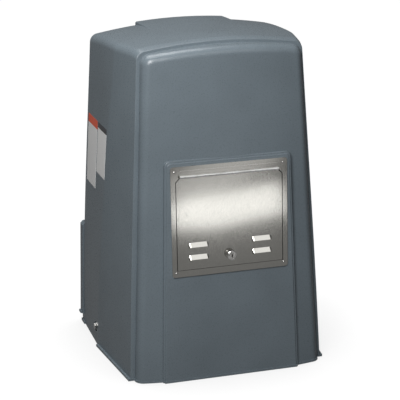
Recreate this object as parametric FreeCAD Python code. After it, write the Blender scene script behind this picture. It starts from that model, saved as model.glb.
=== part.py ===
import FreeCAD, Part
import math
import os

os.makedirs("parts", exist_ok=True)
V = FreeCAD.Vector

# Sliding gate operator. Millimetres, +Z up, front faces -Y, X runs along the gate.
# The origin is the centre of the anchor hole pattern, on the floor.

# cover
wall = 5.0
front_y = -207.0            # foot of the flat door pad
pad_lean = 0.066            # rise of Y per unit of Z
slab_y = -210.5             # foot of the bowed front slab at the centre
slab_lean = 0.0785
slab_bow = 1060.0           # plan radius of the slab face
slab_half = 210.0           # half width at the foot
slab_taper = 0.0475
slab_top = 721.0
slab_round = 20.0
slab_corner = 24.0
rim_round = 2.2             # front edge of the body
ledge_y = -170.0            # foot of the body's front edge
ledge_lean = 0.0755
crown_top = 730.3
crown_across = 1087.0       # radius of the top, left to right
crown_along = 1800.0        # radius of the top, front to back
crown_y = -89.0
crown_round = 20.0
brow_y = -100.0             # ahead of here the top falls to the front edge
brow_tilt = 11.0            # degrees
rear_corner = 20.0
wedge_half = 103.0
wedge_y = 25.0
wedge_sink = 1.5            # so that it comes out of the top at a clean line
wedge_rise = 3.0           # degrees
wedge_round = 4.0
rear_y = 196.0
rear_draft = 0.018
lip_out = 5.0
lip_high = 5.0
toe_out = 1.6               # small lip round the foot of the slab and the pad
toe_high = 4.5
pad_margin = 26.0           # from the door frame to the foot of the pad, each side
pad_taper = 0.032
pad_rise = 12.2             # from the door frame to the top of the pad
# height, front corner half width, crease half width, rear half width
stations = ((0.0, 219.5, 240.0, 236.0),
            (230.0, 209.5, 234.5, 233.0),
            (460.0, 197.0, 221.5, 223.5),
            (745.0, 181.0, 201.0, 210.5))
crease_y = 39.0
crease_lean = -0.08

# access door, measured along the leaning pad from its foot
lean = math.degrees(math.atan(pad_lean))
hinge_long = 220.0
hinge_h = 455.5
knuckle_r = 3.0
pin_r = 1.5
pin_clear = 0.05
knuckles = 17
hinge_strip = 0.6
hole_half = hinge_long / 2 + 9.5
hole_low = 250.5
hole_high = hinge_h - knuckle_r
hole_clip = 8.0             # cut-off upper corners of the hole and of the door
frame_half = hole_half + 10.5
frame_low = hole_low - 14.2
frame_high = hinge_h + 22.3
frame_thick = 2.5
frame_corner = 6.0
door_gap = 1.5
low_gap = 0.75
top_gap = 0.5
sheet = 1.5
door_depth = 8.0
rebate = 16.0
stop_lip = 7.5
lock_h = 276.0
lock_r = 10.8
lock_shank = 9.0
lock_out = 12.0
plug_r = 6.0
plug_clear = 0.05
cam_long = 27.0
cam_thick = 3.0
louvre_x = 71.0
louvre_h = (278.2, 305.4)
louvre_long = 46.0
louvre_high = 14.5
louvre_out = 5.5
louvre_corner = 6.8
rivet_x = hole_half + 1.5
rivet_h = (frame_low + 9.5, frame_high - 11.2)
pad_half = frame_half + pad_margin
pad_top = frame_high + pad_rise

# chassis
base_thick = 6.0
base_x = 208.0
base_front = -150.0
base_back = 184.0
anchor_x = 175.0
anchor_y = 130.0
anchor_r = 7.0
conduit_r = 35.0
conduit_y = -95.0
side_x = 160.0
side_thick = 5.0
side_front = -60.0
back_y = 176.0
back_thick = 4.0
back_half = 200.0
back_high = 250.0
side_high = 430.0
shelf_z = 240.0
shelf_thick = 5.0
bolt_y = 54.0
bolt_z = 41.0
window_half = 195.0
window_high = 246.0
foot_low = 6.0
foot_high = 20.0

# drive
out_z = 95.0                # output shaft height
out_r = 12.5
drive_y = 50.0              # plane of the worm and motor axes
worm_z = 150.0
worm_r = 9.0
motor_z = 330.0
motor_r = 75.0
motor_shaft_r = 9.5
run_clear = 0.06
belt_x = 96.0
pulley_low_r = 55.0
pulley_high_r = 29.8
groove_deep = 9.0
belt_wide = 10.0
belt_thick = 8.0
belt_clear = 0.4
sprocket_y = 208.0
sprocket_thick = 7.0
sprocket_pitch_r = 36.57
sprocket_teeth = 18
roller_r = 3.96
idler_x = 95.0
idler_r = 27.0
idler_z = 46.0
idler_bore = 8.0
limit_x = -105.0
limit_z = 150.0
limit_r = 6.0
limit_y = -37.0
limit_sprocket_r = 20.0
limit_teeth = 16
nut_r = 13.0
nut_thick = 8.0
nut_clear = 0.08
nut_first = -6.0
nut_second = 34.0
nut_travel = 40.0

# control box
box_half = 105.0
box_front = -124.0
box_back = -64.0
box_low = 262.0
box_high = 440.0


def box(x0, x1, y0, y1, z0, z1):
    return Part.makeBox(x1 - x0, y1 - y0, z1 - z0, V(x0, y0, z0))


def rod(r, a, b):
    a, b = V(*a), V(*b)
    return Part.makeCylinder(r, (b - a).Length, a, b - a)


def fuse(shapes):
    return shapes[0].multiFuse(shapes[1:]).removeSplitter()


def cut(shape, tools):
    return shape.cut(Part.makeCompound(tools))


def mirror(shape):
    return shape.mirror(V(0, 0, 0), V(1, 0, 0))


def both(shape):
    return fuse([shape, mirror(shape)])


def pair(shape):
    return Part.makeCompound([shape, mirror(shape)])


def loop(points):
    return Part.makePolygon([V(*p) for p in points] + [V(*points[0])])


def prism(points, along):
    return Part.Face(loop(points)).extrude(V(*along))


def hexagon(across, centre, along):
    r = across / math.sqrt(3)
    n = V(*along)
    n.normalize()
    side = V(0, 0, 1) if abs(n.z) < 0.5 else V(1, 0, 0)
    other = n.cross(side)
    ring = []
    for i in range(6):
        t = math.pi * i / 3
        ring.append(V(*centre) + side * (r * math.cos(t)) + other * (r * math.sin(t)))
    return Part.Face(Part.makePolygon(ring + [ring[0]])).extrude(V(*along))


def rounded(points, radii, z):
    edges = []
    last = None
    first = None
    n = len(points)
    for i in range(n):
        p = V(points[i][0], points[i][1], z)
        a = V(points[i - 1][0], points[i - 1][1], z) - p
        b = V(points[(i + 1) % n][0], points[(i + 1) % n][1], z) - p
        a.normalize()
        b.normalize()
        half = a.getAngle(b) / 2
        t = radii[i] / math.tan(half)
        mid = a + b
        mid.normalize()
        centre = p + mid * (radii[i] / math.sin(half))
        start = p + a * t
        stop = p + b * t
        if last is not None:
            edges.append(Part.makeLine(last, start))
        else:
            first = start
        if radii[i] > 0:
            edges.append(Part.Arc(start, centre - mid * radii[i], stop).toShape())
        last = stop
    edges.append(Part.makeLine(last, first))
    return Part.Wire(edges)


def leaned(shape):
    s = shape.copy()
    s.rotate(V(0, 0, 0), V(1, 0, 0), -lean)
    s.translate(V(0, front_y, 0))
    return s


def save(node, shape):
    shape.exportStep("parts/" + node + ".step")


# ---- cover ----

def crown(drop):
    r = crown_across - drop
    z = crown_top - drop
    w = 1.6 * slab_half
    above = stations[-1][0] * 1.15
    edge = z - r + math.sqrt(r * r - w * w)
    arc = Part.Arc(V(-w, crown_y, edge), V(0, crown_y, z), V(w, crown_y, edge)).toShape()
    over = Part.Wire([arc,
                      Part.makeLine(V(w, crown_y, edge), V(w, crown_y, above)),
                      Part.makeLine(V(w, crown_y, above), V(-w, crown_y, above)),
                      Part.makeLine(V(-w, crown_y, above), V(-w, crown_y, edge))])
    face = Part.Face(over)
    axis = V(0, crown_y, crown_top - crown_along)
    face.rotate(axis, V(1, 0, 0), 8.0)
    return face.revolve(axis, V(1, 0, 0), -22.0)


def body(inset, low):
    wires = []
    ahead = 60.0            # the sides run on past the front, so the rounding ends cleanly
    for z, front, crease, rear in stations:
        h = low if z == 0 else z
        fy = ledge_y + ledge_lean * h
        cy = crease_y + crease_lean * h
        ry = rear_y - rear_draft * h - inset
        f, c, r = front - inset, crease - inset, rear - inset
        f -= (c - f) * ahead / (cy - fy)
        k = rear_corner - inset
        pts = [(f, fy - ahead), (c, cy), (r, ry), (-r, ry), (-c, cy), (-f, fy - ahead)]
        wires.append(rounded(pts, [0.0, 60.0, k, k, 60.0, 0.0], h))
    brow = crown(inset)
    brow.rotate(V(0, brow_y, crown_top - inset), V(1, 0, 0), brow_tilt)
    solid = Part.makeLoft(wires, True, False).cut(crown(inset)).cut(brow)
    ring = []
    for e in solid.Edges:
        if e.BoundBox.ZMin > crown_top * 0.82 and e.CenterOfMass.y > ledge_y + inset:
            ring.append(e)
    solid = solid.makeFillet(crown_round - inset, ring)
    y = ledge_y + inset
    side = 2 * slab_half
    above = stations[-1][0] * 1.15
    solid = solid.cut(prism([(-side, y - side, -80), (-side, y - ledge_lean * 80, -80),
                             (-side, y + ledge_lean * above, above), (-side, y - side, above)],
                            (2 * side, 0, 0)))
    if inset > 0:
        return solid
    rim = []
    for e in solid.Edges:
        m = e.valueAt((e.FirstParameter + e.LastParameter) / 2)
        if abs(m.y - y - ledge_lean * m.z) < 0.01 and e.BoundBox.ZMax > low + 1:
            rim.append(e)
    return solid.makeFillet(rim_round, rim)


def slab(inset):
    low = -30.0
    high = slab_top + 40.0
    half = slab_half - inset
    top = slab_top - inset
    reach = slab_half + 45.0
    sag = slab_bow - math.sqrt(slab_bow ** 2 - reach ** 2)
    y = slab_y + inset + slab_lean * low
    back = y + sag + 24.0 - inset
    plan = Part.Wire([
        Part.Arc(V(-reach, y + sag, low), V(0, y, low), V(reach, y + sag, low)).toShape(),
        Part.makeLine(V(reach, y + sag, low), V(reach, back, low)),
        Part.makeLine(V(reach, back, low), V(-reach, back, low)),
        Part.makeLine(V(-reach, back, low), V(-reach, y + sag, low))])
    bowed = Part.Face(plan).extrude(V(0, slab_lean * (high - low), high - low))
    w = half - slab_taper * top
    edge = top - crown_across + math.sqrt(crown_across ** 2 - w * w)
    foot = half - slab_taper * low
    fore = slab_y - 50.0
    face = Part.Wire([
        Part.makeLine(V(-foot, fore, low), V(-w, fore, edge)),
        Part.Arc(V(-w, fore, edge), V(0, fore, top), V(w, fore, edge)).toShape(),
        Part.makeLine(V(w, fore, edge), V(foot, fore, low)),
        Part.makeLine(V(foot, fore, low), V(-foot, fore, low))])
    front = Part.Face(face).extrude(V(0, -fore, 0))
    corners = []
    for e in front.Edges:
        c = e.CenterOfMass
        if abs(c.z - edge) < 2 and abs(c.y - fore / 2) < 1:
            corners.append(e)
    front = front.makeFillet(slab_corner - inset, corners)
    solid = front.common(bowed)
    ring = []
    for e in solid.Edges:
        c = e.CenterOfMass
        p = e.valueAt((e.FirstParameter + e.LastParameter) / 2)
        bow = slab_bow - math.sqrt(slab_bow ** 2 - p.x ** 2)
        on_face = abs(p.y - (slab_y + inset + slab_lean * p.z + bow)) < 0.5
        if on_face and c.z > low + 5:
            ring.append(e)
    return solid.makeFillet(slab_round - inset * 0.6, ring)


def pad_prism(grow, out, top_extra):
    foot = pad_half + grow
    top = pad_top + top_extra
    w = foot - pad_taper * top
    face = loop([(-foot, out, -20), (foot, out, -20), (w, out, top), (-w, out, top)])
    solid = Part.Face(face).extrude(V(0, 60, 0))
    corners = []
    for e in solid.Edges:
        c = e.CenterOfMass
        if abs(c.z - top) < 1 and abs(abs(c.x) - w) < 1:
            corners.append(e)
    solid = solid.makeFillet(13.0 + grow, corners)
    ring = []
    for e in solid.Edges:
        c = e.CenterOfMass
        if abs(c.y - out) < 0.5 and c.z > 0:
            ring.append(e)
    return leaned(solid.makeFillet(2.2, ring))


def pad_space():
    foot = pad_half + 1.0
    w = foot - pad_taper * pad_top
    face = loop([(-foot, -60, -20), (foot, -60, -20), (w, -60, pad_top), (-w, -60, pad_top)])
    return leaned(Part.Face(face).extrude(V(0, 63, 0)))


def make_cover():
    outer = body(0, 0)
    front = slab(0).cut(pad_space())
    outer = fuse([outer, front, pad_prism(0.0, 2.5, 0.0), pad_prism(-4.5, 0.0, -4.5)])
    # raised wedge on the rear of the top
    over = crown(0)
    over.rotate(V(0, wedge_y, crown_top), V(1, 0, 0), wedge_rise)
    over.translate(V(0, 0, -wedge_sink))
    low = crown_top - 40
    high = crown_top + 30
    side = [(wedge_y, low), (rear_y - rear_draft * low, low), (rear_y - rear_draft * high, high), (wedge_y, high)]
    wedge = prism([(-wedge_half, y, z) for y, z in side], (2 * wedge_half, 0, 0)).cut(over)
    ring = [e for e in wedge.Edges if e.BoundBox.ZMin > low + 10 and e.CenterOfMass.y > wedge_y + 5]
    outer = fuse([outer, wedge.makeFillet(wedge_round, ring)])
    # lip round the foot, front and splayed sides
    z, f, c, r = stations[0]
    foot = loop([(-f - lip_out, ledge_y - 2, 0), (f + lip_out, ledge_y - 2, 0),
                 (c + lip_out, crease_y - 4, 0), (-c - lip_out, crease_y - 4, 0)])
    lip = Part.Face(foot).extrude(V(0, 0, lip_high))
    band = box(-300, 300, slab_y - 20, ledge_y, 0, toe_high)
    outer = fuse([outer, slab(-toe_out).cut(pad_space()).common(band),
                  pad_prism(toe_out - 4.5, -toe_out, 0.0).common(band)])
    heel = []
    for s in (-1, 1):
        for out, high in ((239.5, foot_low), (236.5, foot_high)):
            heel.append(box(min(s * 225, s * out), max(s * 225, s * out), 170, 197, 0, high))
    outer = fuse([outer, lip] + heel)
    # flange on each rear edge with a foot
    for s in (-1, 1):
        low_x = 233.0 + 6.5
        high_x = 228.5 + 6.5
        rib = prism([(s * 222, 185, foot_high), (s * low_x, 185, foot_high), (s * high_x, 185, 240),
                     (s * (high_x - 6), 185, window_high), (s * 218, 185, window_high)],
                    (0, 21, 0))
        toe = box(min(s * 222, s * 243), max(s * 222, s * 243), 190, 206, foot_high, foot_high + 5)
        outer = fuse([outer, rib, toe])
    outer = outer.cut(box(-300, 300, -300, 300, -60, 0))
    hollow = fuse([body(wall, -20), slab(wall)])
    hollow = hollow.cut(box(-300, 300, -300, 300, -60, -30))
    cover = outer.cut(hollow)
    tools = [leaned(box(-hole_half - 4, hole_half + 4, -60, 90, hole_low - 4, hole_high + 3)),
             box(-window_half, window_half, 170, 260, -1, window_high)]
    for s in (-1, 1):
        tools.append(rod(4.5, (s * 220, bolt_y, bolt_z), (s * 260, bolt_y, bolt_z)))
        tools.append(rod(12.0, (s * 236.6, bolt_y, bolt_z), (s * 260, bolt_y, bolt_z)))
    return cut(cover, tools)


cover = make_cover()
save("cover", cover)


def sticker(y0, y1, z0, z1):
    skin = body(-0.4, 0).cut(body(0, 0))
    patch = skin.common(box(-300, 0, y0, y1, z0, z1))
    return patch


save("sticker_large", sticker(82, 158, 361, 516))
save("sticker_small", sticker(8, 76, 403, 516))


# ---- access door ----

def plate(half, low, high, y0, y1, corner):
    s = box(-half, half, y0, y1, low, high)
    if corner:
        edges = [e for e in s.Edges if abs(e.CenterOfMass.y - (y0 + y1) / 2) < 0.01]
        s = s.makeFillet(corner, edges)
    return s


def opening(side, low, top, y):
    w = hole_half - side
    lo = hole_low + low
    hi = hole_high - top
    c = hole_clip + (side - top) * 0.3
    return [(-w, y, lo), (w, y, lo), (w, y, hi - c), (w - c, y, hi), (-w + c, y, hi), (-w, y, hi - c)]


face_y = -frame_thick
frame = fuse([plate(frame_half, frame_low, frame_high, face_y, 0, frame_corner),
              box(-hole_half - 2.5, hole_half + 2.5, -0.5, rebate, hole_low - 2.5, hole_high + 2.5)])
frame = cut(frame, [prism(opening(0, 0, 0, -30), (0, rebate + 27, 0)),
                    box(-hole_half + stop_lip, hole_half - stop_lip, -30, 30,
                        hole_low + stop_lip, hole_high - stop_lip)])
for x in (-rivet_x, rivet_x):
    for h in rivet_h:
        frame = frame.cut(rod(2.4, (x, -10, h), (x, 5, h)))
save("door_frame", leaned(frame))

rivets = []
for x in (-rivet_x, rivet_x):
    for h in rivet_h:
        head = Part.makeSphere(3.4, V(x, face_y + 2.1, h)).common(
            box(x - 9, x + 9, face_y - 4, face_y, h - 9, h + 9))
        tail = rod(2.3, (x, face_y - 0.5, h), (x, 0.0, h))
        rivets.append(fuse([head, tail]))
save("frame_rivets", leaned(Part.makeCompound(rivets)))

gasket_y0 = door_depth + 0.4
gasket = cut(prism(opening(0.3, 0.3, 0.3, gasket_y0), (0, rebate - 3 - gasket_y0, 0)),
             [box(-hole_half + stop_lip, hole_half - stop_lip, -30, 30,
                  hole_low + stop_lip, hole_high - stop_lip)])
save("door_gasket", leaned(gasket))


def hood(x, h, shrink):
    wires = []
    tall = louvre_high - 2.6
    for out, ends, top, low_r, high_r in ((-sheet * (0.9 + shrink), 0.0, 0.0, 3.0, louvre_corner),
                                          (louvre_out - shrink, 3.5, tall, 1.2, 1.2)):
        w = louvre_long / 2 - shrink - ends
        lo = -louvre_high / 2 - shrink
        hi = louvre_high / 2 - shrink - top
        radii = [low_r, low_r, high_r, high_r]
        wire = rounded([(-w, lo), (w, lo), (w, hi), (-w, hi)], radii, 0)
        wire.rotate(V(0, 0, 0), V(1, 0, 0), 90)
        wire.translate(V(x, face_y - out, h))
        wires.append(wire)
    return Part.makeLoft(wires, True, False)


panel = prism(opening(door_gap, low_gap, top_gap, face_y), (0, door_depth - face_y, 0))
panel = panel.cut(prism(opening(door_gap + sheet, low_gap + sheet, top_gap + sheet, face_y + sheet), (0, 30, 0)))
for x in (-louvre_x, louvre_x):
    for h in louvre_h:
        panel = fuse([panel, hood(x, h, 0)])
        panel = panel.cut(hood(x, h, sheet))
panel = panel.cut(rod(lock_shank + 0.2, (0, -10, lock_h), (0, 10, lock_h)))
save("door_panel", leaned(panel))

pin_y = face_y - knuckle_r
pitch = hinge_long / knuckles


def hinge_half(start, h0, h1):
    parts = [box(-hinge_long / 2, hinge_long / 2, face_y - hinge_strip, face_y, h0, h1)]
    toward = 1 if h0 > hinge_h else -1
    for i in range(start, knuckles, 2):
        x0 = -hinge_long / 2 + i * pitch + 0.15
        x1 = x0 + pitch - 0.3
        parts.append(rod(knuckle_r, (x0, pin_y, hinge_h), (x1, pin_y, hinge_h)))
        a, b = sorted((hinge_h, h0 if toward > 0 else h1))
        parts.append(box(x0, x1, face_y - hinge_strip, face_y, a - (toward < 0), b + (toward > 0)))
    solid = fuse(parts)
    return solid.cut(rod(pin_r + pin_clear, (-150, pin_y, hinge_h), (150, pin_y, hinge_h)))


save("hinge_frame_leaf", leaned(hinge_half(0, hinge_h + knuckle_r + 0.5, hinge_h + 13)))
save("hinge_door_leaf", leaned(hinge_half(1, hinge_h - 19, hinge_h - knuckle_r - top_gap)))
hinge_pin = fuse([rod(pin_r, (-hinge_long / 2 - 0.6, pin_y, hinge_h), (hinge_long / 2 + 0.6, pin_y, hinge_h)),
                  rod(2.6, (-hinge_long / 2 - 1.8, pin_y, hinge_h), (-hinge_long / 2 - 0.4, pin_y, hinge_h)),
                  rod(2.6, (hinge_long / 2 + 0.4, pin_y, hinge_h), (hinge_long / 2 + 1.8, pin_y, hinge_h))])
save("hinge_pin", leaned(hinge_pin))

head_y = face_y - lock_out
body_end = 17.0
lock = fuse([rod(lock_r, (0, face_y, lock_h), (0, head_y + 1.2, lock_h)),
             Part.makeCone(lock_r, lock_r - 1.4, 1.2, V(0, head_y + 1.2, lock_h), V(0, -1, 0)),
             rod(lock_shank, (0, face_y, lock_h), (0, body_end, lock_h))])
lock = cut(lock, [rod(plug_r + plug_clear, (0, head_y - 1, lock_h), (0, body_end + 1, lock_h)),
                  rod(plug_r + 1.4, (0, head_y - 1, lock_h), (0, head_y + 0.8, lock_h))])
save("lock_body", leaned(lock))
nut = hexagon(24.0, (0, face_y + sheet, lock_h), (0, 5.0, 0))
nut = nut.cut(rod(lock_shank + 0.1, (0, -10, lock_h), (0, 20, lock_h)))
save("lock_nut", leaned(nut))
plug = rod(plug_r, (0, head_y - 0.3, lock_h), (0, body_end + 0.3, lock_h))
plug = fuse([plug, box(-4, 4, body_end, body_end + 0.3 + cam_thick, lock_h - 4, lock_h + 4)])
plug = plug.cut(box(-0.9, 0.9, head_y - 1, head_y + 9, lock_h - 4.2, lock_h + 4.2))
plug = plug.cut(box(-1.8, 1.8, head_y - 1, head_y + 9, lock_h - 1.2, lock_h + 2.2))
save("lock_plug", leaned(plug))
cam_y = body_end + 0.3
cam = fuse([rod(10, (0, cam_y, lock_h), (0, cam_y + cam_thick, lock_h)),
            box(0, cam_long, cam_y, cam_y + cam_thick, lock_h - 8, lock_h + 8)])
cam = cam.cut(box(-4, 4, cam_y - 1, cam_y + 10, lock_h - 4, lock_h + 4))
save("lock_cam", leaned(cam))
screw = fuse([hexagon(10.0, (0, cam_y + cam_thick, lock_h), (0, 4.0, 0)),
              rod(7.5, (0, cam_y + cam_thick, lock_h), (0, cam_y + cam_thick + 1.0, lock_h))])
save("cam_screw", leaned(screw))


# ---- chassis ----

base = box(-base_x, base_x, base_front, base_back, 0, base_thick)
ears = both(box(base_x - 1, 231.5, 32, 76, 0, base_thick))
base = fuse([base, ears])
tools = []
for x in (-anchor_x, anchor_x):
    for y in (-anchor_y, anchor_y):
        tools.append(rod(anchor_r, (x, y, -1), (x, y, base_thick + 1)))
tools.append(rod(conduit_r, (0, conduit_y, -1), (0, conduit_y, base_thick + 1)))
base = cut(base, tools)
tab = both(fuse([box(200, 231.5, 34, 74, base_thick, base_thick + 4), box(227.5, 231.5, 34, 74, base_thick, 62)]))
tab = tab.cut(rod(4.5, (-260, bolt_y, bolt_z), (260, bolt_y, bolt_z)))
save("base_plate", fuse([base, tab]))

side = fuse([box(side_x, side_x + side_thick, side_front, back_y, base_thick, side_high),
             box(side_x - 30, side_x + 1, side_front, 100, base_thick, base_thick + side_thick)])
lighten = []
for z in (110, 330):
    lighten.append(rod(32.0, (side_x - 5, 20, z), (side_x + 20, 20, z)))
    lighten.append(rod(32.0, (side_x - 5, 110, z), (side_x + 20, 110, z)))
side = cut(side, lighten)
save("side_plate_right", side)
save("side_plate_left", mirror(side))

back = box(-back_half, back_half, back_y, back_y + back_thick, base_thick, back_high)
back = cut(back, [rod(out_r + 6, (0, 150, out_z), (0, 220, out_z)),
                  rod(7.0, (idler_x, 150, idler_z), (idler_x, 220, idler_z)),
                  rod(7.0, (-idler_x, 150, idler_z), (-idler_x, 220, idler_z))])
save("back_plate", back)

shelf = box(-side_x, side_x, side_front, back_y, shelf_z, shelf_z + shelf_thick)
shelf = cut(shelf, [box(belt_x - 12, belt_x + 12, drive_y - 62, drive_y + 62, 200, 300)])

bolts = []
washers = []
for s in (-1, 1):
    washers.append(cut(rod(9.0, (s * 236.6, bolt_y, bolt_z), (s * 238.2, bolt_y, bolt_z)),
                       [rod(4.3, (s * 230, bolt_y, bolt_z), (s * 250, bolt_y, bolt_z))]))
    bolts.append(fuse([hexagon(13.0, (s * 238.2, bolt_y, bolt_z), (s * 5.3, 0, 0)),
                       rod(4.0, (s * 215, bolt_y, bolt_z), (s * 239, bolt_y, bolt_z)),
                       hexagon(13.0, (s * 227.5, bolt_y, bolt_z), (-s * 6.5, 0, 0))]))
save("cover_bolts", Part.makeCompound(bolts + washers))

frame_bolts = []
for x in (-145.0, 145.0):
    for y in (-40.0, 0.0, 60.0, 88.0):
        frame_bolts.append(hexagon(13.0, (x, y, base_thick + side_thick), (0, 0, 5.3)))
for x in (-78.0, 78.0):
    for y in (8.0, 92.0):
        frame_bolts.append(hexagon(13.0, (x, y, base_thick + 10), (0, 0, 5.3)))


# ---- gearbox and output ----

gear_x = 60.0
gear_y0 = -5.0
gear_y1 = 105.0
gear_top = 188.0
case = box(-gear_x, gear_x, gear_y0, gear_y1, base_thick + 10, gear_top)
edges = [e for e in case.Edges if abs(e.CenterOfMass.x) > 59 and abs(e.CenterOfMass.y - 50) < 1
         or abs(e.CenterOfMass.x) > 59 and abs(e.CenterOfMass.z - 102) < 1]
case = case.makeFillet(9.0, edges)
case = fuse([case, box(-90, 90, gear_y0, gear_y1, base_thick, base_thick + 10),
             rod(34, (0, gear_y0 - 8, out_z), (0, gear_y1 + 8, out_z)),
             rod(26, (-gear_x - 2, drive_y, worm_z), (gear_x + 8, drive_y, worm_z))])
case = cut(case, [rod(out_r + 0.5, (0, -60, out_z), (0, 160, out_z)),
                  rod(worm_r + 0.5, (-gear_x - 20, drive_y, worm_z), (gear_x + 20, drive_y, worm_z)),
                  rod(out_r + 6, (0, gear_y0 - 9, out_z), (0, gear_y0 - 1, out_z)),
                  rod(out_r + 6, (0, gear_y1 + 1, out_z), (0, gear_y1 + 9, out_z)),
                  rod(worm_r + 6, (gear_x + 1, drive_y, worm_z), (gear_x + 9, drive_y, worm_z))])
save("gearbox", case)
frame_bolts.append(hexagon(14.0, (30, 50, gear_top), (0, 0, 6)))
save("chassis_bolts", Part.makeCompound(frame_bolts))


def bearing(r, outer, a, b):
    return rod(outer, a, b).cut(rod(r + run_clear, a, b))


seals = [bearing(out_r, out_r + 6, (0, gear_y0 - 8, out_z), (0, gear_y0 - 1, out_z)),
         bearing(out_r, out_r + 6, (0, gear_y1 + 1, out_z), (0, gear_y1 + 8, out_z)),
         bearing(worm_r, worm_r + 6, (gear_x + 1, drive_y, worm_z), (gear_x + 8, drive_y, worm_z))]
rear_bearing = fuse([rod(out_r + 6, (0, back_y, out_z), (0, back_y + back_thick, out_z)),
                     rod(out_r + 14, (0, back_y - 9, out_z), (0, back_y, out_z))])
rear_bearing = rear_bearing.cut(rod(out_r + run_clear, (0, 150, out_z), (0, 200, out_z)))
save("shaft_bearings", Part.makeCompound(seals + [rear_bearing]))

shaft_end = 225.0
out_shaft = rod(out_r, (0, limit_y - 8, out_z), (0, shaft_end, out_z))
out_shaft = out_shaft.makeChamfer(1.0, [e for e in out_shaft.Edges if e.Closed and e.CenterOfMass.y > 220])
save("output_shaft", out_shaft)


def sprocket(teeth, pitch_r, roll, y, thick, x, z, bore):
    tip = pitch_r + roll * 0.75
    blank = rod(tip, (x, y, z), (x, y + thick, z))
    gaps = []
    for i in range(teeth):
        t = 2 * math.pi * i / teeth
        gx = x + pitch_r * math.sin(t)
        gz = z + pitch_r * math.cos(t)
        gaps.append(rod(roll, (gx, y - 1, gz), (gx, y + thick + 1, gz)))
    gaps.append(rod(bore, (x, y - 1, z), (x, y + thick + 1, z)))
    return cut(blank, gaps)


hub = rod(out_r + 9, (0, sprocket_y + sprocket_thick, out_z), (0, sprocket_y + sprocket_thick + 7, out_z))
drive = fuse([sprocket(sprocket_teeth, sprocket_pitch_r, roller_r, sprocket_y, sprocket_thick, 0, out_z, out_r),
              hub.cut(rod(out_r, (0, 180, out_z), (0, 240, out_z)))])
save("drive_sprocket", drive)

for name, s in (("left", -1), ("right", 1)):
    x = s * idler_x
    wheel = rod(idler_r + 2, (x, sprocket_y - 1.5, idler_z), (x, sprocket_y + 8.5, idler_z))
    rim = cut(rod(idler_r + 5, (x, sprocket_y + 0.5, idler_z), (x, sprocket_y + 6.5, idler_z)),
              [rod(idler_r, (x, sprocket_y - 3, idler_z), (x, sprocket_y + 12, idler_z))])
    wheel = cut(wheel, [rim, rod(idler_bore + run_clear, (x, 150, idler_z), (x, 220, idler_z))])
    save("idler_" + name, wheel)
axles = []
for s in (-1, 1):
    x = s * idler_x
    axles.append(fuse([rod(idler_bore, (x, back_y, idler_z), (x, sprocket_y + 10, idler_z)),
                       rod(6.9, (x, back_y - 1, idler_z), (x, back_y + back_thick + 1, idler_z)),
                       rod(13.0, (x, back_y + back_thick, idler_z), (x, sprocket_y - 1.8, idler_z)),
                       rod(12.0, (x, sprocket_y + 8.8, idler_z), (x, sprocket_y + 12, idler_z)),
                       hexagon(16.0, (x, back_y, idler_z), (0, -8, 0))]).cut(
        cut(rod(30, (x, back_y, idler_z), (x, back_y + back_thick, idler_z)),
            [rod(7.0, (x, back_y - 1, idler_z), (x, back_y + 9, idler_z))])))
save("idler_axles", Part.makeCompound(axles))


# ---- worm shaft, belt and motor ----

def pulley(r, z, bore, hub_x):
    lip = rod(r, (belt_x - 8, drive_y, z), (belt_x + 8, drive_y, z))
    groove = cut(rod(r + 5, (belt_x - 5.6, drive_y, z), (belt_x + 5.6, drive_y, z)),
                 [rod(r - groove_deep, (belt_x - 8, drive_y, z), (belt_x + 8, drive_y, z))])
    hub = rod(bore + 8, (min(belt_x, hub_x), drive_y, z), (max(belt_x, hub_x), drive_y, z))
    return cut(fuse([lip.cut(groove), hub]), [rod(bore, (belt_x - 40, drive_y, z), (belt_x + 40, drive_y, z))])


save("worm_shaft", rod(worm_r, (gear_x - 20, drive_y, worm_z), (belt_x + 12, drive_y, worm_z)))
save("worm_pulley", pulley(pulley_low_r, worm_z, worm_r, belt_x - 16))
save("motor_pulley", pulley(pulley_high_r, motor_z, motor_shaft_r, belt_x + 16))


def belt_band(grow, half):
    shapes = []
    lo = pulley_low_r - groove_deep + belt_clear + grow
    hi = pulley_high_r - groove_deep + belt_clear + grow
    span = motor_z - worm_z
    t = math.asin((lo - hi) / span)
    pts = []
    for s in (1, -1):
        a = (drive_y + s * lo * math.cos(t), worm_z + lo * math.sin(t))
        b = (drive_y + s * hi * math.cos(t), motor_z + hi * math.sin(t))
        pts += [a, b] if s == 1 else [b, a]
    shapes.append(prism([(belt_x - half, y, z) for y, z in pts], (2 * half, 0, 0)))
    shapes.append(rod(lo, (belt_x - half, drive_y, worm_z), (belt_x + half, drive_y, worm_z)))
    shapes.append(rod(hi, (belt_x - half, drive_y, motor_z), (belt_x + half, drive_y, motor_z)))
    return fuse(shapes)


save("drive_belt", belt_band(belt_thick, belt_wide / 2).cut(belt_band(0, belt_wide)))

motor_x0 = -95.0
motor_x1 = 62.0
shell = rod(motor_r, (motor_x0, drive_y, motor_z), (motor_x1, drive_y, motor_z))
fins = []
for i in range(20):
    t = 2 * math.pi * i / 20
    slot = box(motor_x0 + 12, motor_x1 - 12, -2.5, 2.5, motor_r - 5, motor_r + 5)
    slot.rotate(V(0, 0, 0), V(1, 0, 0), math.degrees(t))
    slot.translate(V(0, drive_y, motor_z))
    if math.cos(t) > -0.5:
        fins.append(slot)
shell = cut(shell, fins)
shell = shell.cut(rod(motor_shaft_r + 0.5, (-150, drive_y, motor_z), (150, drive_y, motor_z)))
save("motor_housing", shell)
bells = []
for x, d in ((motor_x0, -1), (motor_x1, 1)):
    bell = Part.makeCone(motor_r - 2, motor_r - 20, 12, V(x, drive_y, motor_z), V(d, 0, 0))
    bells.append(bell.cut(rod(motor_shaft_r + run_clear, (x - 20, drive_y, motor_z), (x + 20, drive_y, motor_z))))
save("motor_end_bells", Part.makeCompound(bells))
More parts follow.
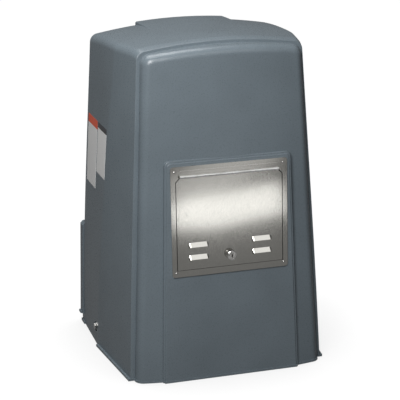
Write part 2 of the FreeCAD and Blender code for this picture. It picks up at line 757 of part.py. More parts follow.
save("motor_shaft", rod(motor_shaft_r, (-128, drive_y, motor_z), (belt_x + 18, drive_y, motor_z)))
fan = [rod(16, (-123, drive_y, motor_z), (-111, drive_y, motor_z))]
for i in range(7):
    blade = box(-123, -111, -1.2, 1.2, 14, 50)
    blade.rotate(V(0, 0, 0), V(1, 0, 0), 360.0 * i / 7)
    blade.translate(V(0, drive_y, motor_z))
    fan.append(blade)
save("motor_fan", fuse(fan).cut(rod(motor_shaft_r, (-150, drive_y, motor_z), (-100, drive_y, motor_z))))
cradle = []
for x in (-70.0, 26.0):
    foot = box(x, x + 18, drive_y - 45, drive_y + 45, shelf_z + shelf_thick, motor_z - 48)
    cradle.append(foot.cut(rod(motor_r, (x - 5, drive_y, motor_z), (x + 30, drive_y, motor_z))))
save("motor_shelf", fuse([shelf] + cradle))

can = rod(22, (-130, 146, shelf_z + shelf_thick), (-130, 146, shelf_z + 100))
save("capacitor", fuse([can, box(-137, -133, 144, 148, shelf_z + 100, shelf_z + 108),
                        box(-127, -123, 144, 148, shelf_z + 100, shelf_z + 108)]))
core = box(96, 150, 128, 168, shelf_z + shelf_thick, shelf_z + 50)
save("transformer", fuse([core, box(106, 140, 118, 172, shelf_z + 13, shelf_z + 42)]))


# ---- limit assembly ----

save("limit_drive_sprocket", sprocket(limit_teeth, limit_sprocket_r, 2.6, limit_y, 3.0, 0, out_z, out_r))
save("limit_sprocket", sprocket(limit_teeth, limit_sprocket_r, 2.6, limit_y, 3.0, limit_x, limit_z, limit_r))
length = math.hypot(limit_x, limit_z - out_z)
angle = math.degrees(math.atan2(limit_z - out_z, limit_x))


def limit_loop(r, y0, y1):
    s = fuse([box(0, length, y0, y1, -r, r), rod(r, (0, y0, 0), (0, y1, 0)),
              rod(r, (length, y0, 0), (length, y1, 0))])
    s.rotate(V(0, 0, 0), V(0, 1, 0), -angle)
    s.translate(V(0, 0, out_z))
    return s


tip = limit_sprocket_r + 2.6 * 0.75 + 0.5
save("limit_chain", limit_loop(tip + 2.5, limit_y - 0.5, limit_y + 3.5).cut(
    limit_loop(tip, limit_y - 2, limit_y + 5)))
limit_end = 100.0
limit_shaft = rod(limit_r, (limit_x, limit_y - 6, limit_z), (limit_x, limit_end + 10, limit_z))
grooves = []
for i in range(22):
    y = -20 + i * 5.0
    grooves.append(cut(rod(limit_r + 1, (limit_x, y, limit_z), (limit_x, y + 2.0, limit_z)),
                       [rod(limit_r - 0.8, (limit_x, y - 1, limit_z), (limit_x, y + 3.0, limit_z))]))
save("limit_shaft", cut(limit_shaft, grooves))
keeper_low = nut_r - 3.0


def limit_nut(y):
    n = rod(nut_r, (limit_x, y, limit_z), (limit_x, y + nut_thick, limit_z))
    return cut(n, [rod(limit_r + nut_clear, (limit_x, y - 1, limit_z), (limit_x, y + 20, limit_z)),
                   box(limit_x - 1.6, limit_x + 1.6, y - 1, y + 20, limit_z + keeper_low, limit_z + 20)])


save("limit_nut_front", limit_nut(nut_first))
save("limit_nut_rear", limit_nut(nut_second))
bracket_x0 = -side_x
bracket = fuse([box(bracket_x0, limit_x + 16, y, y + 4, limit_z - 16, limit_z + 16) for y in (-28.0, limit_end)]
               + [box(bracket_x0, bracket_x0 + 4, -28, limit_end + 4, limit_z - 16, limit_z + 16)])
bracket = bracket.cut(rod(limit_r + run_clear, (limit_x, -40, limit_z), (limit_x, 140, limit_z)))
keeper = box(limit_x - 1.0, limit_x + 1.0, -28, limit_end + 4, limit_z + keeper_low + 0.5, limit_z + 24)
ends = fuse([box(limit_x - 8, limit_x + 8, y, y + 4, limit_z + 16, limit_z + 24) for y in (-28.0, limit_end)])
switches = []
front_arm = nut_first - 2.0
rear_arm = nut_second + nut_thick + nut_travel + 1.0
for y_arm, y in ((front_arm, front_arm - 16), (rear_arm, rear_arm + 1)):
    case_box = box(limit_x + 18, limit_x + 38, y, y + 16, limit_z - 14, limit_z + 14)
    arm = box(limit_x + 8, limit_x + 36, y_arm, y_arm + 1.0, limit_z - 3, limit_z + 3)
    switches.append(fuse([case_box, arm]))
save("limit_switches", Part.makeCompound(switches))
carrier = fuse([box(limit_x + 38, limit_x + 41, -28, limit_end + 4, limit_z - 16, limit_z + 10),
                box(limit_x + 16, limit_x + 41, -28, -24, limit_z - 16, limit_z + 10),
                box(limit_x + 16, limit_x + 41, limit_end, limit_end + 4, limit_z - 16, limit_z + 10)])
save("limit_bracket", fuse([bracket, keeper, ends, carrier]))


# ---- controls behind the door ----

bracket = box(-side_x - side_thick, side_x + side_thick, side_front - 4, side_front, box_low - 10, box_high + 5)
bracket = bracket.cut(box(-box_half + 12, box_half - 12, -80, -50, box_low + 12, box_high - 12))
save("control_bracket", bracket)
tray = box(-box_half, box_half, box_front, box_back, box_low, box_high)
tray = tray.cut(box(-box_half + 2, box_half - 2, box_front - 5, box_back - 2, box_low + 2, box_high - 2))
posts = []
for x in (-85, 85):
    for z in (box_low + 65, box_high - 15):
        posts.append(rod(4, (x, box_back - 2, z), (x, box_back - 14, z)))
save("control_box", fuse([tray] + posts))
board = box(-96, 96, box_back - 15.6, box_back - 14, box_low + 54, box_high - 6)
save("circuit_board", board)
by = box_back - 15.6
chips = []
for x, z, w, h, d in ((-70, 380, 24, 20, 16), (-40, 380, 24, 20, 16), (-10, 380, 24, 20, 16),
                      (45, 400, 30, 14, 5), (62, 370, 16, 16, 4), (30, 360, 10, 26, 4)):
    chips.append(box(x - w / 2, x + w / 2, by - d, by, z - h / 2, z + h / 2))
save("board_parts", Part.makeCompound(chips))
strips = []
for x0 in (-90.0, 10.0):
    bar = box(x0, x0 + 80, by - 12, by, box_low + 58, box_low + 70)
    holes = []
    for i in range(10):
        holes.append(rod(2.2, (x0 + 4 + i * 8, by - 13, box_low + 64), (x0 + 4 + i * 8, by - 6, box_low + 64)))
    strips.append(cut(bar, holes))
save("terminal_strips", Part.makeCompound(strips))
panel_y = box_front + 2
button_x = (-60.0, -20.0, 20.0)
button_z = box_low + 27
strip = box(-box_half + 2, box_half - 2, panel_y, panel_y + 2, box_low + 2, box_low + 50)
holes = [rod(8.0, (x, panel_y - 5, button_z), (x, panel_y + 5, button_z)) for x in button_x]
holes.append(box(52, 76, panel_y - 5, panel_y + 5, button_z - 9.5, button_z + 9.5))
save("button_panel", cut(strip, holes))
travel = 3.0
for name, x in zip(("open", "close", "stop"), button_x):
    cap = rod(7.9, (x, panel_y - 5, button_z), (x, panel_y + 8, button_z))
    back_ring = rod(9.5, (x, panel_y + 2.1, button_z), (x, panel_y + 4, button_z))
    save(name + "_button", fuse([cap, back_ring]))
guides = []
for x in button_x:
    outer = rod(12, (x, panel_y + 2, button_z), (x, panel_y + 18, button_z))
    guides.append(outer.cut(rod(10, (x, panel_y + 2, button_z), (x, panel_y + 16, button_z))))
rocker_y = panel_y + 4
rocker = prism([(53, rocker_y - 7, button_z - 8), (53, rocker_y - 5.5, button_z),
                (53, rocker_y - 7, button_z + 8), (53, rocker_y + 2, button_z + 8),
                (53, rocker_y + 5, button_z), (53, rocker_y + 2, button_z - 8)], (22, 0, 0))
save("power_rocker", fuse([rocker, rod(1.5, (51.5, rocker_y, button_z), (76.5, rocker_y, button_z))]))
cell = cut(box(49, 79, panel_y + 2, panel_y + 20, button_z - 13, button_z + 13),
           [box(52, 76, panel_y, panel_y + 16, button_z - 11, button_z + 11),
            rod(1.56, (51, rocker_y, button_z), (77, rocker_y, button_z))])
save("switch_cells", Part.makeCompound(guides + [cell]))
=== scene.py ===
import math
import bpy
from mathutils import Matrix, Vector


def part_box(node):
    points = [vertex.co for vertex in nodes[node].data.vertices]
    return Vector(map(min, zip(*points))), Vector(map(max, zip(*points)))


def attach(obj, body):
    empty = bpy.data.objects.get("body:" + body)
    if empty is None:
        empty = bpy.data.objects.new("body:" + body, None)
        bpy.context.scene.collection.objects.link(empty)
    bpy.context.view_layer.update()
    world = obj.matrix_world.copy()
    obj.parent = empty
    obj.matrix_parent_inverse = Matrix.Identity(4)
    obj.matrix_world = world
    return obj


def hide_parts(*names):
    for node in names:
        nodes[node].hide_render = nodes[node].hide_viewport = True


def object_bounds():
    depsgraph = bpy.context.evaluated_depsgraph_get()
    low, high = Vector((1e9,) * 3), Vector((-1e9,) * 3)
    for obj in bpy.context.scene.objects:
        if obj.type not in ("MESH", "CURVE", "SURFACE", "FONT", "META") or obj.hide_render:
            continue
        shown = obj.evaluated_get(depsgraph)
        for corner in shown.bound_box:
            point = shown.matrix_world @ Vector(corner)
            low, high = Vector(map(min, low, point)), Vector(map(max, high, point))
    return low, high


bl_info = {
    "name": "Sliding gate motor",
    "version": (1, 0, 0),
    "blender": (4, 5, 0),
    "location": "View3D > Sidebar > Gate motor",
    "description": "Finished pieces and a stage for the packed frame of a sliding gate motor",
    "category": "Object",
}

import bpy
from mathutils import Vector

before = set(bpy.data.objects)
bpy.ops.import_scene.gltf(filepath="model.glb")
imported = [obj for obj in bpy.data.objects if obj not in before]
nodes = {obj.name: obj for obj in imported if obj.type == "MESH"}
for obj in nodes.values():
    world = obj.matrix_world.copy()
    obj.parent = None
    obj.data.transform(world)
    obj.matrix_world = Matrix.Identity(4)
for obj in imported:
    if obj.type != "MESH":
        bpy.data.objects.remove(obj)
cad_low, cad_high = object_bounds()


# ---- sizes and colours a user would change ----

class CoverLook(bpy.types.PropertyGroup):
    colour: bpy.props.FloatVectorProperty(
        name="Colour", description="Colour of the moulded cover", subtype="COLOR", size=3,
        default=(0.143, 0.174, 0.196))
    grain: bpy.props.FloatProperty(
        name="Grain", description="Width of one dimple of the moulding texture", unit="LENGTH",
        default=0.0022)
    grain_depth: bpy.props.FloatProperty(
        name="Grain depth", description="Depth of the moulding texture", unit="LENGTH",
        default=0.00012)
    roughness: bpy.props.FloatProperty(
        name="Roughness", description="Roughness of the cover", subtype="FACTOR", default=0.3)


class SteelLook(bpy.types.PropertyGroup):
    colour: bpy.props.FloatVectorProperty(
        name="Colour", description="Colour of the brushed door and its frame", subtype="COLOR",
        size=3, default=(0.56, 0.55, 0.515))
    roughness: bpy.props.FloatProperty(
        name="Roughness", description="Roughness of the brushed door", subtype="FACTOR",
        default=0.1)
    grain: bpy.props.FloatProperty(
        name="Grain", description="Width of one brush line", unit="LENGTH", default=0.0006)


class LabelLook(bpy.types.PropertyGroup):
    paper: bpy.props.FloatVectorProperty(
        name="Paper", description="Colour of the blank labels", subtype="COLOR", size=3,
        default=(0.80, 0.80, 0.79))
    band: bpy.props.FloatVectorProperty(
        name="Band", description="Colour of the large label's header band", subtype="COLOR",
        size=3, default=(0.72, 0.10, 0.04))
    band_height: bpy.props.FloatProperty(
        name="Band height", description="Height of the large label's header band", unit="LENGTH",
        default=0.019)
    dark_band: bpy.props.FloatVectorProperty(
        name="Dark band", description="Colour of the small label's header band", subtype="COLOR",
        size=3, default=(0.05, 0.05, 0.055))
    dark_band_height: bpy.props.FloatProperty(
        name="Dark band height", description="Height of the small label's header band",
        unit="LENGTH", default=0.012)


class StageLook(bpy.types.PropertyGroup):
    key: bpy.props.FloatProperty(
        name="Key lamp", description="Power of the front lamp", unit="POWER", default=29.5)
    top: bpy.props.FloatProperty(
        name="Top lamp", description="Power of the lamp overhead", unit="POWER", default=24.0)
    brow: bpy.props.FloatProperty(
        name="Brow lamp", description="Power of the lamp above the front", unit="POWER",
        default=3.0)
    door: bpy.props.FloatProperty(
        name="Door lamp", description="Power of the low lamp that the door reflects",
        unit="POWER", default=0.19)
    glow: bpy.props.FloatProperty(
        name="Door glow", description="Power of the second lamp that the door reflects",
        unit="POWER", default=0.0684)
    room: bpy.props.FloatProperty(
        name="Room light", description="Strength of the even light around", default=0.025)
    mirrored_room: bpy.props.FloatProperty(
        name="Mirrored room", description="Strength of the room as glossy surfaces mirror it",
        default=0.14)
    mirrored_floor: bpy.props.FloatProperty(
        name="Mirrored floor", description="Strength of the floor as glossy surfaces mirror it",
        default=0.135)
    # Reach of the painted shadow that ambient occlusion draws on the floor
    shadow_reach: bpy.props.FloatProperty(
        name="Shadow reach", description="Width of the soft shadow round the foot",
        unit="LENGTH", default=0.22)
    lens: bpy.props.FloatProperty(
        name="Lens", description="Focal length of the camera", subtype="DISTANCE_CAMERA",
        default=148.6)


# ---- shared helpers ----

# Metres between corners of a CAD mesh that are one and the same
MERGE_DISTANCE = 0.000002
# Degrees below which two faces shade as one curve: on solid pieces, and on thin sheet steel
ROUND_ANGLE = 30.0
SHEET_ANGLE = 18.0
# How far large faces outweigh small ones, from 1 to 100, 50 being even
FACE_WEIGHT = 80
# Cosine to a leaf's flat side above which a face is part of that side
STILL_FLAT = 0.999


def deselect():
    if bpy.context.mode != "OBJECT":
        bpy.ops.object.mode_set(mode="OBJECT")
    bpy.ops.object.select_all(action="DESELECT")


def activate(piece):
    deselect()
    piece.select_set(True)
    bpy.context.view_layer.objects.active = piece


def even_shading(piece, angle):
    """Smooths below an angle, and weighs faces by area so that flats stay flat by their rounds."""
    activate(piece)
    bpy.ops.object.shade_smooth_by_angle(angle=math.radians(angle))
    bpy.ops.object.modifier_add(type="WEIGHTED_NORMAL")
    weighted = piece.modifiers[-1]
    weighted.keep_sharp = True
    weighted.weight = FACE_WEIGHT
    bpy.ops.object.modifier_apply(modifier=weighted.name)


def finished_copy(node, body, name, material, angle=ROUND_ANGLE):
    """A merged, smooth-shaded copy of a CAD node that stands for it."""
    piece = bpy.data.objects.new(name, nodes[node].data.copy())
    bpy.context.scene.collection.objects.link(piece)
    activate(piece)
    bpy.ops.object.mode_set(mode="EDIT")
    bpy.ops.mesh.select_all(action="SELECT")
    bpy.ops.mesh.remove_doubles(threshold=MERGE_DISTANCE)
    bpy.ops.object.mode_set(mode="OBJECT")
    if piece.data.has_custom_normals:
        bpy.ops.mesh.customdata_custom_splitnormals_clear()
    piece.data.materials.clear()
    piece.data.materials.append(material)
    even_shading(piece, angle)
    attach(piece, body)
    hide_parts(node)
    return piece


def dress(rows):
    """Gives each node a finished copy on its body, in the finish that its row names."""
    for node, body, finish_name in rows:
        piece = finished_copy(node, body, node + "_finished", finish(finish_name))


def paint(node, material):
    """Keeps the CAD node as it is, with a new material."""
    piece = nodes[node]
    piece.data.materials.clear()
    piece.data.materials.append(material)


def highlight_rounds(piece, material):
    """Gives the rolled knuckles of a hinge leaf a lighter steel than the flat of the leaf: a
    painted highlight.
    """
    mesh = piece.data
    mesh.materials.append(material)
    flat = max(mesh.polygons, key=lambda face: face.area).normal.copy()
    for face in mesh.polygons:
        if abs(face.normal.dot(flat)) < STILL_FLAT:
            face.material_index = 1


def new_material(name, colour, roughness, metallic=0.0):
    material = bpy.data.materials.new(name)
    material.use_nodes = True
    tree = material.node_tree
    shader = tree.nodes["Principled BSDF"]
    shader.inputs["Base Color"].default_value = (*colour, 1.0)
    shader.inputs["Roughness"].default_value = roughness
    shader.inputs["Metallic"].default_value = metallic
    return material, tree, shader


def place_coordinates(tree, scale=(1.0, 1.0, 1.0)):
    """Object coordinates stretched by a scale per axis."""
    source = tree.nodes.new("ShaderNodeTexCoord")
    mapping = tree.nodes.new("ShaderNodeMapping")
    mapping.inputs["Scale"].default_value = scale
    tree.links.new(source.outputs["Object"], mapping.inputs["Vector"])
    return mapping.outputs["Vector"]


def noise(tree, vector, scale, detail=2.0, roughness=0.5):
    node = tree.nodes.new("ShaderNodeTexNoise")
    node.inputs["Scale"].default_value = scale
    node.inputs["Detail"].default_value = detail
    node.inputs["Roughness"].default_value = roughness
    tree.links.new(vector, node.inputs["Vector"])
    return node.outputs["Fac"]


def remap(tree, value, low, high, from_low=0.3, from_high=0.7):
    node = tree.nodes.new("ShaderNodeMapRange")
    node.inputs["From Min"].default_value = from_low
    node.inputs["From Max"].default_value = from_high
    node.inputs["To Min"].default_value = low
    node.inputs["To Max"].default_value = high
    tree.links.new(value, node.inputs["Value"])
    return node.outputs["Result"]


def arithmetic(tree, operation, first, second):
    """A Math node of two inputs, the first a socket and the second a socket or a number."""
    node = tree.nodes.new("ShaderNodeMath")
    node.operation = operation
    tree.links.new(first, node.inputs[0])
    if isinstance(second, float):
        node.inputs[1].default_value = second
    else:
        tree.links.new(second, node.inputs[1])
    return node.outputs["Value"]


def tint(tree, factor, dark, light):
    node = tree.nodes.new("ShaderNodeMix")
    node.data_type = "RGBA"
    node.inputs["A"].default_value = (*dark, 1.0)
    node.inputs["B"].default_value = (*light, 1.0)
    tree.links.new(factor, node.inputs["Factor"])
    return node.outputs["Result"]


def mottle_colour(tree, shader, pattern, colour, darkest, lightest):
    """Varies the base colour between two shares of it, along a pattern."""
    dark = tuple(min(1.0, part * darkest) for part in colour)
    light = tuple(min(1.0, part * lightest) for part in colour)
    mixed = tint(tree, remap(tree, pattern, 0.0, 1.0), dark, light)
    tree.links.new(mixed, shader.inputs["Base Color"])


def mottle_gloss(tree, shader, pattern, low, high):
    """Varies the roughness between two values, along a pattern."""
    tree.links.new(remap(tree, pattern, low, high), shader.inputs["Roughness"])


def bump(tree, shader, height, distance):
    node = tree.nodes.new("ShaderNodeBump")
    node.inputs["Distance"].default_value = distance
    tree.links.new(height, node.inputs["Height"])
    tree.links.new(node.outputs["Normal"], shader.inputs["Normal"])


# ---- finishes ----

def moulded(name, colour, roughness, grain, depth):
    """Moulded plastic: an orange-peel surface with faint clouding of the colour."""
    material, tree, shader = new_material(name, colour, roughness)
    here = place_coordinates(tree)
    cloud = noise(tree, here, scale=9.0, detail=3.0)
    mottle_colour(tree, shader, cloud, colour, 0.94, 1.06)
    peel = noise(tree, here, scale=1.0 / grain, detail=1.5, roughness=0.6)
    mottle_gloss(tree, shader, peel, roughness - 0.05, roughness + 0.05)
    bump(tree, shader, peel, depth)
    return material


def brushed(name, colour, roughness, grain):
    """Brushed metal: fine scratches that run up the sheet, fifty times as long as wide."""
    material, tree, shader = new_material(name, colour, roughness, metallic=1.0)
    here = place_coordinates(tree, scale=(1.0, 1.0, 0.02))
    lines = noise(tree, here, scale=1.0 / grain, detail=3.0, roughness=0.6)
    mottle_colour(tree, shader, lines, colour, 0.96, 1.03)
    mottle_gloss(tree, shader, lines, roughness - 0.04, roughness + 0.05)
    bump(tree, shader, lines, distance=0.000005)
    return material


def metal(name, colour, roughness, cloud_scale):
    """Plain machined or plated metal with slight clouding."""
    material, tree, shader = new_material(name, colour, roughness, metallic=1.0)
    here = place_coordinates(tree)
    cloud = noise(tree, here, scale=cloud_scale, detail=3.0)
    mottle_colour(tree, shader, cloud, colour, 0.9, 1.08)
    mottle_gloss(tree, shader, cloud, roughness - 0.05, roughness + 0.08)
    return material


def coated(name, colour, roughness, grain=0.0012, depth=0.00005):
    """Paint, rubber or small plastic pieces: a fine even texture."""
    material, tree, shader = new_material(name, colour, roughness)
    here = place_coordinates(tree)
    fine = noise(tree, here, scale=1.0 / grain)
    cloud = noise(tree, here, scale=25.0)
    mottle_colour(tree, shader, cloud, colour, 0.93, 1.07)
    bump(tree, shader, fine, depth)
    return material


def label(name, paper, band, edge):
    """Blank printed vinyl: plain paper with a header band above a height."""
    half_blur = 0.0002
    material, tree, shader = new_material(name, paper, 0.35)
    source = tree.nodes.new("ShaderNodeTexCoord")
    split = tree.nodes.new("ShaderNodeSeparateXYZ")
    tree.links.new(source.outputs["Object"], split.inputs["Vector"])
    above = remap(tree, split.outputs["Z"], 0.0, 1.0, edge - half_blur, edge + half_blur)
    tree.links.new(tint(tree, above, paper, band), shader.inputs["Base Color"])
    cloud = noise(tree, source.outputs["Object"], scale=40.0)
    mottle_gloss(tree, shader, cloud, 0.3, 0.42)
    return material


def moulded_cover(name):
    look = bpy.context.scene.cover_look
    return moulded(name, tuple(look.colour), look.roughness, look.grain, look.grain_depth)


def stainless(name):
    look = bpy.context.scene.steel_look
    return brushed(name, tuple(look.colour), look.roughness, look.grain)


# Colour, roughness, and how fine the clouding is
METALS = {
    # Near-white copy of the door steel for the hinge knuckles: a painted highlight
    "hinge_highlight_steel": ((0.96, 0.96, 0.94), 0.42, 60.0),
    "plated_steel": ((0.62, 0.61, 0.59), 0.2, 90.0),
    "zinc_steel": ((0.5, 0.51, 0.5), 0.38, 30.0),
    "bare_steel": ((0.38, 0.38, 0.37), 0.32, 120.0),
    "cast_alloy": ((0.55, 0.56, 0.56), 0.42, 200.0),
    "core_steel": ((0.25, 0.22, 0.18), 0.5, 150.0),
}
# Colour, roughness, and width and depth of the texture where it is coarser than paint
COATS = {
    "gear_case": ((0.05, 0.055, 0.06), 0.5, 0.002, 0.0002),
    "motor_paint": ((0.08, 0.085, 0.09), 0.42),
    "belt_rubber": ((0.02, 0.02, 0.02), 0.7),
    "wheel_plastic": ((0.72, 0.70, 0.64), 0.45),
    "black_plastic": ((0.025, 0.025, 0.027), 0.45),
    "box_paint": ((0.3, 0.31, 0.32), 0.4),
    "board": ((0.015, 0.12, 0.045), 0.3),
    "terminal_green": ((0.03, 0.2, 0.11), 0.4),
    "open_cap": ((0.03, 0.28, 0.08), 0.3),
    "close_cap": ((0.72, 0.7, 0.66), 0.3),
    "stop_cap": ((0.5, 0.03, 0.02), 0.3),
}
# Finishes that take their values from the panel
CHOSEN = {"moulded_cover": moulded_cover, "stainless": stainless}
made_finishes = {}


def finish(name):
    """The shared finish of that name, made once."""
    if name in made_finishes:
        return made_finishes[name]
    if name in METALS:
        made_finishes[name] = metal(name, *METALS[name])
    elif name in COATS:
        made_finishes[name] = coated(name, *COATS[name])
    else:
        made_finishes[name] = CHOSEN[name](name)
    return made_finishes[name]


# ---- operators ----

class GATE_OT_cover(bpy.types.Operator):
    """Finish the moulded cover"""
    bl_idname = "gate_motor.cover"
    bl_label = "Cover"

    def execute(self, context):
        piece = finished_copy("cover", "housing", "cover_shell", finish("moulded_cover"))
        return {"FINISHED"}


class GATE_OT_labels(bpy.types.Operator):
    """Finish the two blank labels on the left side"""
    bl_idname = "gate_motor.labels"
    bl_label = "Labels"

    def execute(self, context):
        look = context.scene.label_look
        rows = (("sticker_large", "label_large", look.band, look.band_height),
                ("sticker_small", "label_small", look.dark_band, look.dark_band_height))
        for node, name, band, height in rows:
            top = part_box(node)[1].z
            paint(node, label(name, tuple(look.paper), tuple(band), top - height))
        return {"FINISHED"}


class GATE_OT_door(bpy.types.Operator):
    """Finish the service door, its frame, hinge and lock"""
    bl_idname = "gate_motor.door"
    bl_label = "Service door"

    def execute(self, context):
        for node, body in (("door_frame", "housing"), ("door_panel", "door"),
                           ("hinge_frame_leaf", "housing"), ("hinge_door_leaf", "door"),
                           ("hinge_pin", "housing")):
            piece = finished_copy(node, body, node + "_finished", finish("stainless"), SHEET_ANGLE)
            if node.endswith("_leaf"):
                # the knuckles take a lighter steel, a painted highlight
                highlight_rounds(piece, finish("hinge_highlight_steel"))
        dress((("frame_rivets", "housing", "plated_steel"),
               ("lock_body", "door", "plated_steel"),
               ("lock_nut", "door", "plated_steel"),
               ("lock_plug", "lock", "plated_steel"),
               ("lock_cam", "lock", "plated_steel"),
               ("cam_screw", "lock", "plated_steel")))
        paint("door_gasket", finish("belt_rubber"))
        return {"FINISHED"}


class GATE_OT_chassis(bpy.types.Operator):
    """Finish the base, side plates, shelf and bolts"""
    bl_idname = "gate_motor.chassis"
    bl_label = "Chassis"

    def execute(self, context):
        for node in ("base_plate", "side_plate_left", "side_plate_right", "back_plate",
                     "motor_shelf", "control_bracket"):
            paint(node, finish("zinc_steel"))
        dress((("cover_bolts", "housing", "plated_steel"),
               ("chassis_bolts", "housing", "plated_steel")))
        return {"FINISHED"}


class GATE_OT_drive(bpy.types.Operator):
    """Finish the motor, belt, gearbox, sprocket and idlers"""
    bl_idname = "gate_motor.drive"
    bl_label = "Drive"

    def execute(self, context):
        dress((("gearbox", "housing", "gear_case"),
               ("shaft_bearings", "housing", "bare_steel"),
               ("motor_housing", "housing", "motor_paint"),
               ("motor_end_bells", "housing", "cast_alloy"),
               ("motor_shaft", "motor", "bare_steel"),
               ("motor_fan", "motor", "black_plastic"),
               ("motor_pulley", "motor", "cast_alloy"),
               ("worm_shaft", "worm", "bare_steel"),
               ("worm_pulley", "worm", "cast_alloy"),
               ("drive_belt", "housing", "belt_rubber"),
               ("output_shaft", "output", "bare_steel"),
               ("drive_sprocket", "output", "bare_steel"),
               ("idler_axles", "housing", "bare_steel"),
               ("idler_left", "left_idler", "wheel_plastic"),
               ("idler_right", "right_idler", "wheel_plastic"),
               ("capacitor", "housing", "motor_paint")))
        paint("transformer", finish("core_steel"))
        return {"FINISHED"}


class GATE_OT_limits(bpy.types.Operator):
    """Finish the limit shaft, its chain, nuts and switches"""
    bl_idname = "gate_motor.limits"
    bl_label = "Limit assembly"

    def execute(self, context):
        dress((("limit_shaft", "limit_screw", "bare_steel"),
               ("limit_sprocket", "limit_screw", "bare_steel"),
               ("limit_drive_sprocket", "output", "bare_steel"),
               ("limit_chain", "housing", "bare_steel"),
               ("limit_nut_front", "front_nut", "wheel_plastic"),
               ("limit_nut_rear", "rear_nut", "wheel_plastic"),
               ("limit_bracket", "housing", "zinc_steel")))
        paint("limit_switches", finish("black_plastic"))
        return {"FINISHED"}


class GATE_OT_controls(bpy.types.Operator):
    """Finish the control box, its board and its buttons"""
    bl_idname = "gate_motor.controls"
    bl_label = "Controls"

    def execute(self, context):
        for node, finish_name in (("control_box", "box_paint"), ("circuit_board", "board"),
                                  ("board_parts", "black_plastic"), ("button_panel", "box_paint"),
                                  ("switch_cells", "black_plastic"),
                                  ("terminal_strips", "terminal_green")):
            paint(node, finish(finish_name))
        dress((("open_button", "open_key", "open_cap"),
               ("close_button", "close_key", "close_cap"),
               ("stop_button", "stop_key", "stop_cap"),
               ("power_rocker", "rocker", "black_plastic")))
        return {"FINISHED"}


def add_floor(look):
    """White paper: bright to the camera, dimmer in metal, with a painted soft shadow round the
    foot.
    """
    side = 40.0
    clearance = 0.0005
    darkest_painted_shadow = 0.8
    most_covered = 0.4
    bpy.ops.mesh.primitive_plane_add(size=side, location=(0.0, 0.0, cad_low.z - clearance))
    floor = bpy.context.object
    floor.name = "floor"
    material, tree, shader = new_material("floor_paper", (0.06, 0.06, 0.06), 0.9)
    path = tree.nodes.new("ShaderNodeLightPath")
    shade = tree.nodes.new("ShaderNodeAmbientOcclusion")
    shade.inputs["Distance"].default_value = look.shadow_reach
    # Painted shadow: the paper's brightness to the camera falls by ambient occlusion near the
    # object
    paper = remap(tree, shade.outputs["AO"], darkest_painted_shadow, 1.0, most_covered, 1.0)
    seen = arithmetic(tree, "MULTIPLY", path.outputs["Is Camera Ray"], paper)
    mirrored = arithmetic(tree, "MULTIPLY", path.outputs["Is Glossy Ray"], look.mirrored_floor)
    shader.inputs["Emission Color"].default_value = (1.0, 1.0, 1.0, 1.0)
    tree.links.new(arithmetic(tree, "MAXIMUM", seen, mirrored), shader.inputs["Emission Strength"])
    floor.data.materials.append(material)


def add_world(look):
    """White to the camera, and an even dim room to the object and to what it mirrors."""
    seen_strength = 1.2
    world = bpy.data.worlds.new("studio")
    world.use_nodes = True
    tree = world.node_tree
    sky = tree.nodes["Background"]
    sky.inputs["Color"].default_value = (1.0, 1.0, 1.0, 1.0)
    path = tree.nodes.new("ShaderNodeLightPath")
    seen = arithmetic(tree, "MULTIPLY", path.outputs["Is Camera Ray"], seen_strength)
    mirrored = arithmetic(tree, "MULTIPLY", path.outputs["Is Glossy Ray"], look.mirrored_room)
    brighter = arithmetic(tree, "MAXIMUM", seen, mirrored)
    tree.links.new(arithmetic(tree, "MAXIMUM", brighter, look.room), sky.inputs["Strength"])
    bpy.context.scene.world = world


def add_lamp(name, place, aim, size, roll, power):
    bpy.ops.object.light_add(type="AREA", location=place)
    lamp = bpy.context.object
    lamp.name = name
    lamp.data.shape = "RECTANGLE"
    lamp.data.size, lamp.data.size_y = size
    lamp.data.energy = power
    toward = Vector(aim) - Vector(place)
    lamp.rotation_euler = toward.to_track_quat("-Z", "Y").to_euler()
    lamp.rotation_euler.rotate_axis("Z", math.radians(roll))
    lamp.visible_camera = False


def add_camera(look):
    place = (-1.0593, -3.3354, 1.4997)
    below_level = 18.38
    to_the_right = 17.49
    rotation = (math.radians(90.0 - below_level), 0.0, math.radians(-to_the_right))
    bpy.ops.object.camera_add(location=place, rotation=rotation)
    camera = bpy.context.object
    camera.name = "camera"
    camera.data.lens = look.lens
    bpy.context.scene.camera = camera


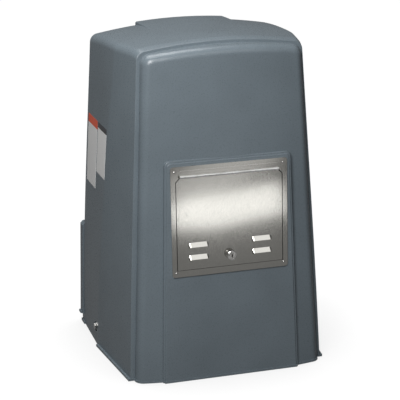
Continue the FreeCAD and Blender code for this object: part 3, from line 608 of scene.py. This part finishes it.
class GATE_OT_stage(bpy.types.Operator):
    """Add the floor, the lamps, the world and the camera"""
    bl_idname = "gate_motor.stage"
    bl_label = "Stage"

    def execute(self, context):
        look = context.scene.stage_look
        body_middle = (0.0, -0.1, 0.6)
        cover_top = (0.0, 0.0, 0.7)
        door_middle = (0.0, -0.19, 0.36)
        door_low = (0.0, -0.19, 0.345)
        door_high = (0.0, -0.19, 0.46)
        deselect()
        add_floor(look)
        add_world(look)
        for row in (
                ("key_lamp", (-0.75, -1.25, 1.48), body_middle, (0.8, 0.9), 0.0, look.key),
                ("top_lamp", (-0.3, 0.3, 2.2), cover_top, (1.2, 1.2), 0.0, look.top),
                ("brow_lamp", (0.45, -1.4, 1.85), door_middle, (1.0, 0.8), 0.0, look.brow),
                ("door_lamp", (0.475, -1.68, 0.056), door_low, (0.36, 0.10), 10.0, look.door),
                ("door_glow", (0.475, -1.70, 0.18), door_high, (0.36, 0.12), 28.0, look.glow)):
            add_lamp(*row)
        add_camera(look)
        context.scene.view_settings.view_transform = "Standard"
        return {"FINISHED"}


class GATE_PT_panel(bpy.types.Panel):
    """Lists the operators that build the gate motor"""
    bl_label = "Gate motor"
    bl_idname = "GATE_PT_panel"
    bl_space_type = "VIEW_3D"
    bl_region_type = "UI"
    bl_category = "Gate motor"

    def draw(self, context):
        for group in LOOKS:
            values = getattr(context.scene, group)
            for key in values.bl_rna.properties.keys():
                if key not in ("rna_type", "name"):
                    self.layout.prop(values, key)
        for operator in OPERATORS:
            self.layout.operator(operator.bl_idname)


OPERATORS = (GATE_OT_cover, GATE_OT_labels, GATE_OT_door, GATE_OT_chassis, GATE_OT_drive,
             GATE_OT_limits, GATE_OT_controls, GATE_OT_stage)
LOOKS = {"cover_look": CoverLook, "steel_look": SteelLook, "label_look": LabelLook,
         "stage_look": StageLook}


def register():
    for group, kind in LOOKS.items():
        bpy.utils.register_class(kind)
        setattr(bpy.types.Scene, group, bpy.props.PointerProperty(type=kind))
    for kind in OPERATORS + (GATE_PT_panel,):
        bpy.utils.register_class(kind)


def unregister():
    for kind in reversed(OPERATORS + (GATE_PT_panel,)):
        bpy.utils.unregister_class(kind)
    for group, kind in LOOKS.items():
        delattr(bpy.types.Scene, group)
        bpy.utils.unregister_class(kind)


def main():
    register()
    bpy.ops.gate_motor.cover()
    bpy.ops.gate_motor.labels()
    bpy.ops.gate_motor.door()
    bpy.ops.gate_motor.chassis()
    bpy.ops.gate_motor.drive()
    bpy.ops.gate_motor.limits()
    bpy.ops.gate_motor.controls()
    bpy.ops.gate_motor.stage()


if __name__ == "__main__":
    main()
